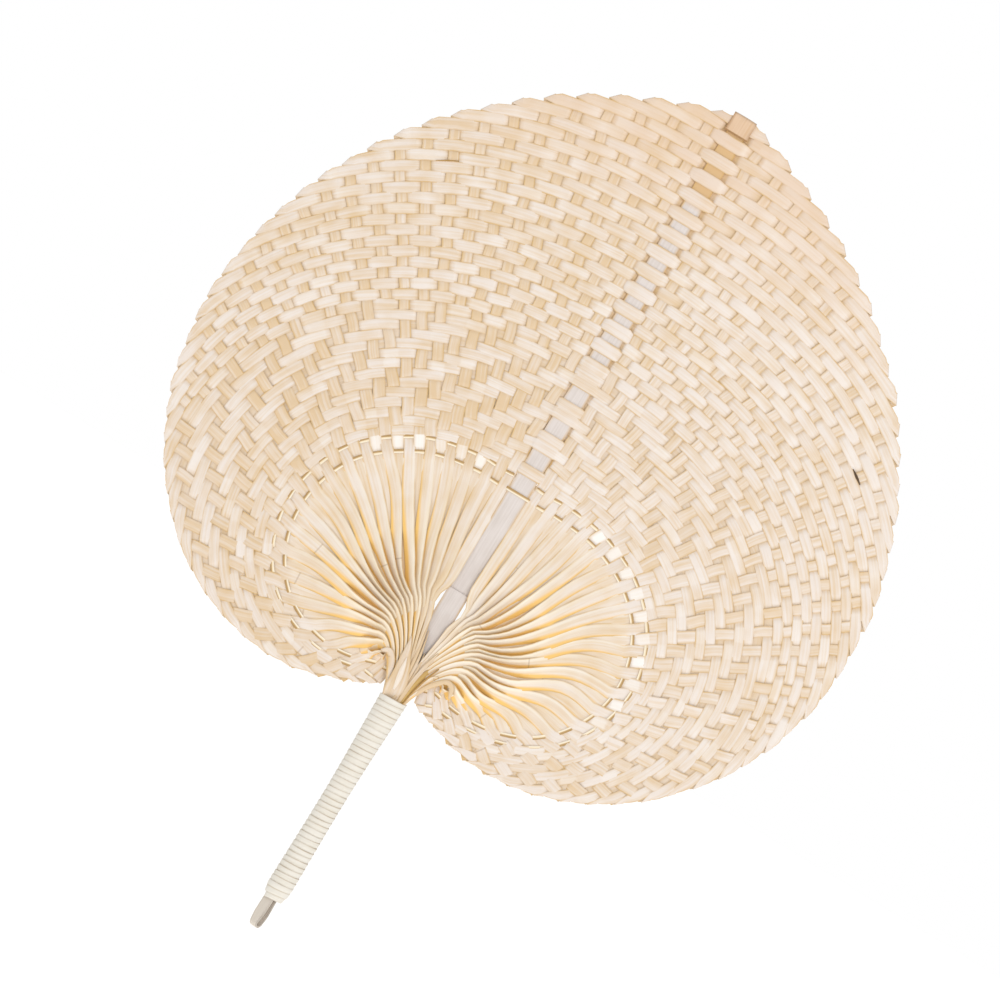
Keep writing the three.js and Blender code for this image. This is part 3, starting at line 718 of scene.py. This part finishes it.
def upright_rings(rings, half, k, jitter):
    share = share_of(k)
    angle = fan_angle(share)
    outward = np.array([math.sin(angle), 0.0, math.cos(angle)])
    inward = np.array([-math.cos(angle), 0.0, math.sin(angle)])
    edge = edge_radius(half, share)
    oval = oval_radius(half, share)
    rise = LIFT * (-0.8 if k % 2 else 0.8)
    sliver = sliver_radius(half, share)
    stops = [(sliver - SLIVER_INSET, rise, 0.5), (sliver + SLIVER_OUTSET, -rise, 0.4)]
    for m in range(STRIPS, k, -1):
        depth = LIFT if row_is_over(m, k) else -LIFT
        stops.append((row_radius(half, share, m), depth, FLAT_SHARE * row_width(half, share, m)))
    stop = edge - 0.55 * row_width(half, share, k)
    stops.append((stop, LIFT, 0.2))
    full = STRIP_WIDTH * strip_share(k)
    across, face = turned(inward, math.radians(jitter["twist"]))
    for radius, depth in weave_stations(stops):
        if radius > stop:
            continue
        room = lerp(1.16, 1.09, ease(radius, oval, oval + 10)) * radius * fan_rate(share) / STRIPS
        width = min(full * lerp(RIM_SPREAD, 0.9, ease(radius, oval, oval + 60)), room)
        point = leaf_point(angle + wobble(jitter, radius, 19.0, 0.25) / radius, radius, depth)
        # Uprights are deeper in tone in the woven field than by the oval, partly the straw's own tone and
        # partly painted shade of the recessed strips; they get painted shade where they pass under rows, and
        # every second one a painted highlight between the slivers
        tan = lerp(0.4 if k % 2 else 0.65, 1.0, ease(radius, oval + 1, oval + 14)) + jitter["tan"]
        under = painted_shade_at(depth) * ease(radius, oval, oval + 6)
        between = oval - SLIVER_INSET + 1 < radius < oval + 3
        glint = jitter["glint"] if between and k % 2 == 0 else 0.0
        peach = peach_at(point, jitter)
        rings.add(point, across, face, width, arch=ARCH, tan=tan, warm=peach, under=under, glint=glint)
    half_row = row_width(half, share, k) / 2
    reach = lerp(0.9, 0.6, ease(k, 18, 26)) * full / 2
    crease = inward * reach + outward * half_row * (1 + FOLD_TIP) / 2
    over_edge = unit(np.cross(crease, FRONT))
    if over_edge @ outward < 0:
        over_edge = -over_edge
    crease_width = 2 * np.linalg.norm(crease)
    crease = unit(crease)
    at = leaf_point(angle, edge + jitter["stick"], 0.0) + outward * half_row * (FOLD_TIP - 1) / 2
    for turn in (0.0, 0.25, 0.5, 0.75, 1.0):
        swing = math.pi * turn
        middle = at + BACK * LIFT * math.cos(swing) + over_edge * 0.8 * LIFT * math.sin(swing)
        face = FRONT * math.cos(swing) - over_edge * math.sin(swing)
        rings.add(middle, crease, face, crease_width, tan=0.2, warm=peach_at(at, jitter))


def row_rings(rings, half, other, k, jitter):
    crosses = (k % 2 == 0) == (half["sign"] < 0)
    tuck = tuck_strip(k)
    own = share_of(k)
    stops = [(own, -LIFT, 0.0)]

    def pass_strip(where, j, side):
        share = share_of(j)
        arc = row_radius(where, share, k) * fan_rate(share)
        pitch = arc / STRIPS
        depth = -LIFT if row_is_over(k, j) else LIFT
        if depth > 0:
            flat = min(FLAT_SHARE * pitch, 2.2)
        elif j == 1:
            flat = 0.3 * pitch
        else:
            flat = max(FLAT_SHARE * pitch, pitch - 5.2)
        stops.append((side * share, depth, flat / arc))

    for j in range(k - 1, 0 if crosses else max(tuck, 1) - 1, -1):
        pass_strip(half, j, 1)
    if crosses:
        stops.append((0.0, -SPINE_LIFT if row_is_over(k, 0) else SPINE_LIFT, 0.0))
        last = max(tuck, 1) if k > 1 else 0
        for j in range(1, last + 1):
            pass_strip(other, j, -1)
    reach = (STRIP_WIDTH / 2 + 0.4) / (row_radius(half, own, k) * fan_rate(own))
    shines = rng.uniform(*half["shine"], 2 * STRIPS + 3)
    spine_z = CENTRE_Z + row_radius(half, 0.0, k)
    spine_row = row_width(half, 0.0, k)
    path = []
    for signed, depth in weave_stations(stops):
        if signed > own - reach:
            continue
        if abs(signed) < ON_SPINE:
            if path and abs(path[-1][0][0]) < SPINE_EDGE:
                continue
            for x in (SPINE_EDGE - 0.6, 0.0, -SPINE_EDGE + 0.6):
                path.append((np.array([x, depth, spine_z]), SPINE_ROW_FILL * spine_row, 0.0))
            continue
        where = half if signed > 0 else other
        share = abs(signed)
        radius = row_radius(where, share, k) + wobble(jitter, signed * STRIPS, 4.7, 0.18)
        point = leaf_point(fan_angle(share), radius, depth)
        if signed < 0:
            point[0] = -point[0]
        # Some floats lying on top get a painted highlight
        shine = max(shines[round(signed * STRIPS + math.copysign(0.5, signed))], 0.0)
        path.append((point, row_width(where, share, k), shine if depth < -0.9 * LIFT else 0.0))
    if len(path) < 2:
        for x in (SPINE_EDGE + 1.5, SPINE_EDGE - 1.0):
            path.append((np.array([x, -SPINE_LIFT, spine_z]), spine_row, 0.0))
    points = np.array([station[0] for station in path])
    tangent = np.gradient(points, axis=0)
    sunk = 0.85 if k <= PLAIN_ROWS else 0.5
    for (point, width, shine), step in zip(path, tangent):
        across = sideways(step)
        if across @ np.array([point[0], 0.0, point[2] - CENTRE_Z]) < 0:
            across = -across
        face = unit(np.cross(unit(step), across))
        if face[1] < 0:
            face = -face
        away = np.linalg.norm(point - points[0]) + 0.4
        outer = lerp(FOLD_TIP, 1.0, min(away / 5.5, 1.0))
        stick = jitter["stick"] * (1 - ease(away, 2.5, 10.0))
        middle = point + across * (width / 4 * (outer - 1) + stick / 2)
        full = width * (1 + outer) / 2 + stick
        tan = jitter["row"]
        peach = peach_at(point, jitter)
        # Painted shade where the row passes under the uprights, less in the twill rows
        under = sunk * painted_shade_at(point[1])
        rings.add(middle, across, face, full, arch=-ARCH, tan=tan, warm=peach, under=under, glint=shine)


# How strong the rim's painted highlights are, by the strip's place in the fan
def glint_strength(half, share):
    start, full, fade, end = half["glint_zone"]
    return ease(share, start, full) * (1 - ease(share, fade, end))


def make_strip(half, other, k):
    settled = ease(k, 0, 4) * (1 - ease(k, 30, 36))
    jitter = {
        "tilt": rng.normal(0, 2.5),
        "layer": rng.normal(0, 0.1),
        "bar": rng.uniform(3.1, 3.9) + (half["broad_bar"] if k % 4 == 1 else 0.0),
        "sway": (0.7 * math.sin(0.9 * k + half["sign"]) + rng.normal(0, 0.3)) * settled,
        "twist": rng.normal(0, 3.5),
        "phase": rng.uniform(0, 2 * math.pi),
        "warm": rng.uniform(*half["warm"]),
        "peach": rng.uniform(0.4, 0.7),
        "tan": rng.normal(half["upright_tan"], 0.1),
        "row": rng.uniform(*half["row_tan"]),
        "glint": rng.uniform(0.4, 0.85) * glint_strength(half, share_of(k)),
        "stick": rng.normal(1.3, 0.35) * (1 - 0.85 * ease(k, 22, 32)),
    }
    jitter["stick"] = STICKING_FOLDS.get((half["sign"], k), jitter["stick"])
    rings = Rings()
    gather_rings(rings, half, k, jitter)
    upright_rings(rings, half, k, jitter)
    row_rings(rings, half, other, k, jitter)
    name = f"straw_{half['name']}_{k:02d}"
    knot = rng.uniform(38, 90) if rng.uniform() < KNOTTED_SHARE else NO_KNOT
    mesh = strip_mesh(name, rings, half["sign"], rng.uniform(0, 1), knot)
    cad = [m for m in range(1, CAD_STRIPS + 1) if round((m - 0.5) / CAD_STRIPS * STRIPS + 0.5) == k]
    nodes = [f"strip_{half['name']}_{m:02d}" for m in cad]
    place(name, mesh, straw, nodes)


for half, other in (HALVES, HALVES[::-1]):
    for k in range(1, STRIPS + 1):
        make_strip(half, other, k)


# Pair of slivers that starts the web round the rim of the oval, each over every second strip
def make_sliver(name, outset, over_odd, nodes):
    stops = []
    for side in (-1, 1):
        order = range(STRIPS, 0, -1) if side < 0 else range(1, STRIPS + 1)
        for j in order:
            depth = -LIFT if (j % 2 == 1) == over_odd else LIFT
            stops.append((side * share_of(j), depth, 0.3 / STRIPS))
        if side < 0:
            stops.append((0.0, SPINE_LIFT if over_odd else -SPINE_LIFT, 0.0))
    path = []
    for signed, depth in weave_stations(stops):
        half = HALVES[1] if signed >= 0 else HALVES[0]
        share = abs(signed)
        if share < ON_SPINE:
            if abs(path[-1][0]) <= SPINE_EDGE:
                continue
            radius = sliver_radius(half, 0.0) + outset
            for x in (-SPINE_EDGE, 0.0, SPINE_EDGE):
                path.append(np.array([x, depth, CENTRE_Z + radius]))
            continue
        point = leaf_point(fan_angle(share), sliver_radius(half, share) + outset, depth)
        point[0] *= 1 if signed > 0 else -1
        path.append(point)
    tangent = np.gradient(np.array(path), axis=0)
    rings = Rings()
    for point, step in zip(path, tangent):
        across = sideways(step)
        face = unit(np.cross(unit(step), across))
        # Painted shadow along one edge of the sliver, a painted highlight along the other and a painted glow,
        # varying slowly along it
        dark = 0.88 + 0.12 * math.sin(0.21 * point[0] + 0.13 * point[2])
        rings.add(point, across, face, SLIVER_WIDTH, arch=-0.05, tan=0.3, valley=dark)
    place(name, strip_mesh(name, rings), sliver_straw, nodes)


make_sliver("rim_sliver", -SLIVER_INSET, False, ["starter_weft"])
make_sliver("rim_sliver_outer", SLIVER_OUTSET, True, ())


# Spine and front slat
def spine_half_width(z):
    shoulder = min(max((z - NECK_Z) / SHOULDER_LENGTH + 0.5, 0.0), 1.0)
    taper = min(max((z - NECK_Z) / (TIP_Z - NECK_Z), 0.0), 1.0)
    blade = lerp(SPINE_WIDTH + 0.3, SPINE_TIP_WIDTH, taper)
    return lerp(SPINE_HANDLE_WIDTH, blade, shoulder) / 2


def make_slat(name, low, high, depth, thickness, node):
    rings = Rings()
    for z in np.linspace(low, high, 60):
        middle = np.array([0.0, depth, z])
        width = 2 * spine_half_width(z)
        tan = 0.3 if z < OCHRE_FROM_Z else 0.0
        ochre = ease(z, OCHRE_FROM_Z, OCHRE_FROM_Z + OCHRE_FADE)
        rings.add(middle, LEFT, FRONT, width, thickness, ARCH, tan=tan, warm=ochre, under=ochre)
    mesh = strip_mesh(name, rings, tone=0.35, columns=9)
    piece = place(name, mesh, bamboo, [node])
    bevel = piece.modifiers.new("edge", "BEVEL")
    bevel.width = 0.00012
    bevel.segments = 2
    bevel.limit_method = "ANGLE"
    bevel.angle_limit = SHARP_ANGLE


make_slat("spine", BUTT_Z + SPINE_ABOVE_BUTT, TIP_Z, 0.0, SPINE_THICKNESS, "spine_slat")
make_slat(
    "front_slat", NECK_Z - SLAT_TAIL, NECK_Z + SLAT_REACH,
    SLAT_THICKNESS / 2 - SLAT_FRONT, SLAT_THICKNESS, "spine_front_slat",
)


# Handle binding, wound turn beside turn
def make_binding():
    rings = Rings()
    low = BUTT_Z - BINDING_PAST_BUTT
    high = NECK_Z - BINDING_BELOW_NECK
    pitch = (high - low) / BINDING_TURNS
    total = round(BINDING_TURNS * BINDING_STEPS)
    for i in range(total + 1):
        turn = math.pi + 2 * math.pi * i / BINDING_STEPS
        z = lerp(low, high, i / total)
        drift = 0.12 * math.sin(1.7 * turn) + 0.08 * math.sin(0.37 * turn)
        taper = BINDING_TAPER * (max(BUTT_Z + 0.6 - z, 0.0) / BINDING_PAST_BUTT) ** 2
        width = core_half_width(z) + BINDING_OUT - taper
        depth = core_half_width(z) * CORE_DEPTH_SHARE + BINDING_OUT - taper
        middle = np.array([width * math.cos(turn), depth * math.sin(turn), z + drift])
        out = unit(np.array([math.cos(turn) / width, math.sin(turn) / depth, 0.0]))
        across = UP * math.cos(BINDING_LEAN) + out * math.sin(BINDING_LEAN)
        face = out * math.cos(BINDING_LEAN) - UP * math.sin(BINDING_LEAN)
        rings.add(middle, across, face, pitch * BINDING_LAP, BINDING_THICKNESS, 0.16, tan=0.2)
    place("binding", strip_mesh("binding", rings, tone=0.4), ivory, ["handle_binding"])


make_binding()


# Leaves at the neck, and dark sheets near the edge as painted shadows of slits: stations of x, height above
# the neck, width and way forward
LEAVES = [
    ("neck_leaf", straw, "pale_straw", ["neck_blade"], 6, 1.3, [
        (-1.0, -4, 7.4, 2.4), (-1.8, 3, 10.0, 5.0), (-2.8, 9, 8.6, 5.2),
        (-4.6, 16, 6.0, 5.2), (-6.6, 23.5, 2.8, 4.8), (-8.2, 28.8, 0.3, 4.2),
    ]),
    ("neck_leaf_white", white_straw, "pale_straw", (), 4, 0.2, [
        (-2.4, 3, 1.0, 5.6), (-2.9, 8, 2.6, 5.8), (-3.8, 13.5, 2.6, 5.8), (-4.8, 19, 0.4, 5.6),
    ]),
    ("fold_edge", straw, "straw", (), 14, 1.1, [
        (2.6, -3, 1.8, 4.4), (3.2, 8, 2.0, 4.9), (4.8, 19, 2.0, 4.9), (6.8, 28, 0.8, 4.2),
    ]),
    ("fold_bar_1", straw, "straw", (), -14, 1.2, [
        (-0.4, -2, 1.6, 4.2), (-0.6, 10, 1.7, 4.4), (-1.6, 22, 1.6, 4.3),
        (-3.6, 34, 1.0, 3.4), (-5.6, 42, 0.3, 2.6),
    ]),
    ("fold_bar_2", straw, "straw", (), -14, 1.5, [
        (1.0, -2, 1.5, 4.2), (0.9, 10, 1.6, 4.3), (0.3, 20, 1.5, 4.2),
        (-1.2, 29, 0.9, 3.4), (-2.6, 35, 0.3, 2.6),
    ]),
    ("fold_bar_3", straw, "straw", (), -14, 1.7, [
        (2.2, -2, 1.4, 4.1), (2.3, 9, 1.5, 4.2), (2.2, 18, 1.4, 4.0), (1.4, 25, 0.3, 3.0),
    ]),
    ("fold_hollow", ochre_straw, "tan_straw", (), 20, 0.2, [
        (4.3, -2, 1.6, 3.6), (5.3, 9, 3.6, 4.2), (7.0, 16, 3.6, 4.0), (8.6, 23, 0.6, 2.6),
    ]),
    # A dark sheet standing for the shadow inside the fold: painted shade
    ("fold_slit", ochre_straw, "tan_straw", (), 60, 2.0, [
        (4.6, -2, 0.5, 4.4), (6.2, 7, 1.0, 4.9), (8.6, 15.5, 1.4, 5.1), (11.0, 22, 0.4, 4.6),
    ]),
    ("fold_under", straw, "tan_straw", (), 10, 1.4, [
        (4.9, -2, 1.4, 3.2), (7.4, 6, 2.0, 3.6), (11.4, 13, 2.4, 4.2),
        (17.0, 18.5, 2.4, 4.8), (20.6, 17.4, 2.4, 4.6), (22.2, 12.5, 1.0, 3.4),
    ]),
    ("fold_left", straw, "tan_straw", (), -10, 1.2, [
        (-5.0, -2, 1.6, 3.2), (-7.6, 7, 2.6, 3.6), (-10.2, 14, 3.2, 4.2),
        (-13.6, 17.4, 3.0, 4.4), (-17.2, 15.6, 1.0, 3.4),
    ]),
    ("fold_back_left", straw, "tan_straw", (), 0, 1.0, [
        (-10.0, 6, 4.0, -0.6), (-15.0, 11, 6.0, -1.0), (-20.0, 14, 6.0, -1.0), (-25.0, 15, 3.0, -0.8),
    ]),
    ("fold_back_right", straw, "tan_straw", (), 0, 1.0, [
        (9.0, 8, 4.0, -0.6), (14.0, 13, 6.0, -1.0), (19.0, 16, 6.0, -1.0), (24.0, 16, 3.0, -0.8),
    ]),
    # Dark sheets on the weave as painted shadows of gaps between rows
    ("edge_slit", gap_shadow_straw, "tan_straw", (), 0, 1.0, [
        (128.5, 203.3, 0.3, 0.6), (131.8, 201.0, 1.2, 0.66), (135.2, 198.6, 0.3, 0.6),
    ]),
    ("edge_slit_left", ochre_straw, "tan_straw", (), 0, 2.0, [
        (-114.3, 225.6, 0.3, 0.6), (-109.6, 228.4, 0.7, 0.64), (-104.9, 230.9, 0.3, 0.6),
    ]),
]


def make_leaf(name, material, slot, nodes, turn, tan, stations):
    knots = np.array(stations)
    steps = np.linspace(0, len(knots) - 1, 6 * len(knots))
    smooth = [[curve_through(list(enumerate(knots[:, i])), t) for t in steps] for i in range(4)]
    x, rise, width, ahead = (np.array(values) for values in smooth)
    points = np.stack([x, -ahead, NECK_Z + rise], axis=-1)
    tangent = np.gradient(points, axis=0)
    rings = Rings()
    for point, step, wide in zip(points, tangent, width):
        across, face = turned(-sideways(step), math.radians(turn))
        rings.add(point, across, face, max(wide, 0.3), LEAF_THICKNESS, 0.3, tan=tan)
    mesh = strip_mesh(name, rings, tone=rng.uniform(0, 1), columns=7)
    place(name, mesh, material, nodes)


for leaf in LEAVES:
    make_leaf(*leaf)


# Hanging loop: a split strip bent double, its legs up inside the binding and its broad side half to the front
def make_loop():
    rings = Rings()
    apart = np.array([math.cos(LOOP_TURN), math.sin(LOOP_TURN), 0.0])
    across = np.array([math.sin(LOOP_TURN), -math.cos(LOOP_TURN), 0.0])
    bottom = BUTT_Z - LOOP_REACH + LOOP_LEG
    spread = np.linspace(0.45, 1.0, LOOP_STATIONS)
    heights = np.linspace(BUTT_Z + LOOP_INSIDE, bottom, LOOP_STATIONS)
    angles = np.linspace(0.2, math.pi - 0.2, LOOP_STATIONS)
    leg = [(-LOOP_LEG * s, z) for s, z in zip(spread, heights)]
    bend = [(-LOOP_LEG * math.cos(a), bottom - LOOP_LEG * math.sin(a)) for a in angles]
    path = leg + bend + [(-s, z) for s, z in reversed(leg)]
    points = np.array([apart * s + np.array([LOOP_SHIFT, 0.0, z]) for s, z in path])
    tangent = np.gradient(points, axis=0)
    for i, (point, step) in enumerate(zip(points, tangent)):
        face = np.cross(unit(step), across)
        width = LOOP_WIDTH * lerp(0.7, 1.0, ease(point[2], bottom - LOOP_LEG, bottom + 5.0))
        # The second half of the loop is darker: painted shade on the leg behind
        tan = 0.0 if i < len(path) / 2 else 1.2
        rings.add(point, across, face, width, LOOP_THICKNESS, 0.1, tan=tan)
    place("loop", strip_mesh("loop", rings, tone=0.3), split_bamboo, ["hanging_loop"])


make_loop()


# Tip clip: a short strip folded over the tip
def make_clip():
    rings = Rings()
    start = TIP_Z - CLIP_LENGTH + 1.5
    top = TIP_Z + 0.2
    heights = (start, start + 0.6, start + 0.9, *np.linspace(start + 2.0, top, 6))
    angles = np.linspace(0.3, math.pi - 0.3, 8)
    front = [(-CLIP_HALF_DEPTH, z) for z in heights]
    fold = [(-CLIP_HALF_DEPTH * math.cos(a), top + 1.1 * math.sin(a)) for a in angles]
    path = front + fold + [(-y, z) for y, z in reversed(front)]
    points = np.array([(0.0, y, z) for y, z in path])
    tangent = np.gradient(points, axis=0)
    for i, (point, step) in enumerate(zip(points, tangent)):
        face = np.cross(unit(step), LEFT)
        # The first two rings are painted shadow along the clip's lower edge
        dark = 1.7 if i < 2 else 0.0
        rings.add(point, LEFT, face, CLIP_WIDTH, CLIP_THICKNESS, 0.15, tan=0.3, under=dark)
    mesh = strip_mesh("clip", rings, tone=0.4, columns=7)
    place("clip", mesh, peach_straw, ["tip_clip"])


make_clip()

# Laths inside the handle
for node in ("handle_front_lath", "handle_back_lath"):
    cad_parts[node].data.materials.clear()
    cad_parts[node].data.materials.append(ivory)


# Floor, light and camera, in metres
FLOOR_Z = -0.0765
FLOOR_HALF = 6.0
AMBIENT = 0.52
WHITE = (1, 1, 1, 1)
LEAN = math.radians(31.25)
VIEW_X = -0.0058
VIEW_Z = 0.1573
VIEW_WIDTH = 0.470
LENS = 200.0
SENSOR = 36.0

floor_corners = [(FLOOR_HALF * x, FLOOR_HALF * y, FLOOR_Z) for x, y in ((-1, -1), (1, -1), (1, 1), (-1, 1))]
floor_mesh = bpy.data.meshes.new("floor")
floor_mesh.from_pydata(floor_corners, [], [(0, 1, 2, 3)])
floor = add_object("floor", floor_mesh)
floor_material, _, floor_shader = node_tree("floor_white")
floor_shader.inputs["Base Color"].default_value = (0.9, 0.9, 0.9, 1)
floor_shader.inputs["Roughness"].default_value = 0.9
floor_shader.inputs["Emission Color"].default_value = WHITE
floor_shader.inputs["Emission Strength"].default_value = 0.6
floor_mesh.materials.append(floor_material)

world = bpy.data.worlds.new("studio")
world.use_nodes = True
sky = world.node_tree
ambient = sky.nodes["Background"]
ambient.inputs[0].default_value = WHITE
ambient.inputs[1].default_value = AMBIENT
backdrop = sky.nodes.new("ShaderNodeBackground")
backdrop.inputs[0].default_value = WHITE
backdrop.inputs[1].default_value = 1.0
blend = sky.nodes.new("ShaderNodeMixShader")
ray = sky.nodes.new("ShaderNodeLightPath")
sky.links.new(ray.outputs["Is Camera Ray"], blend.inputs[0])
sky.links.new(ambient.outputs[0], blend.inputs[1])
sky.links.new(backdrop.outputs[0], blend.inputs[2])
sky.links.new(blend.outputs[0], sky.nodes["World Output"].inputs[0])
bpy.context.scene.world = world
bpy.context.scene.view_settings.view_transform = "Standard"


def area_light(name, at, target, size, power, colour):
    data = bpy.data.lights.new(name, "AREA")
    data.shape = "DISK"
    data.size = size
    data.energy = power
    data.color = colour
    z = unit(np.array(at) - np.array(target))
    x = unit(np.cross(UP, z))
    y = np.cross(z, x)
    pose = np.eye(4)
    pose[:3] = np.stack([x, y, z, at], axis=1)
    add_object(name, data).matrix_world = Matrix(pose.tolist())


area_light("key", (1.2, -2.8, 1.1), (0, 0, 0.15), 0.85, 25.0, (1, 0.98, 0.96))

camera_data = bpy.data.cameras.new("camera")
camera_data.lens = LENS
camera_data.sensor_width = SENSOR
camera = add_object("camera", camera_data)
camera.matrix_world = Matrix((
    (math.cos(LEAN), -math.sin(LEAN), 0, VIEW_X),
    (0, 0, -1, -VIEW_WIDTH * LENS / SENSOR),
    (math.sin(LEAN), math.cos(LEAN), 0, VIEW_Z),
    (0, 0, 0, 1),
))
bpy.context.scene.camera = camera
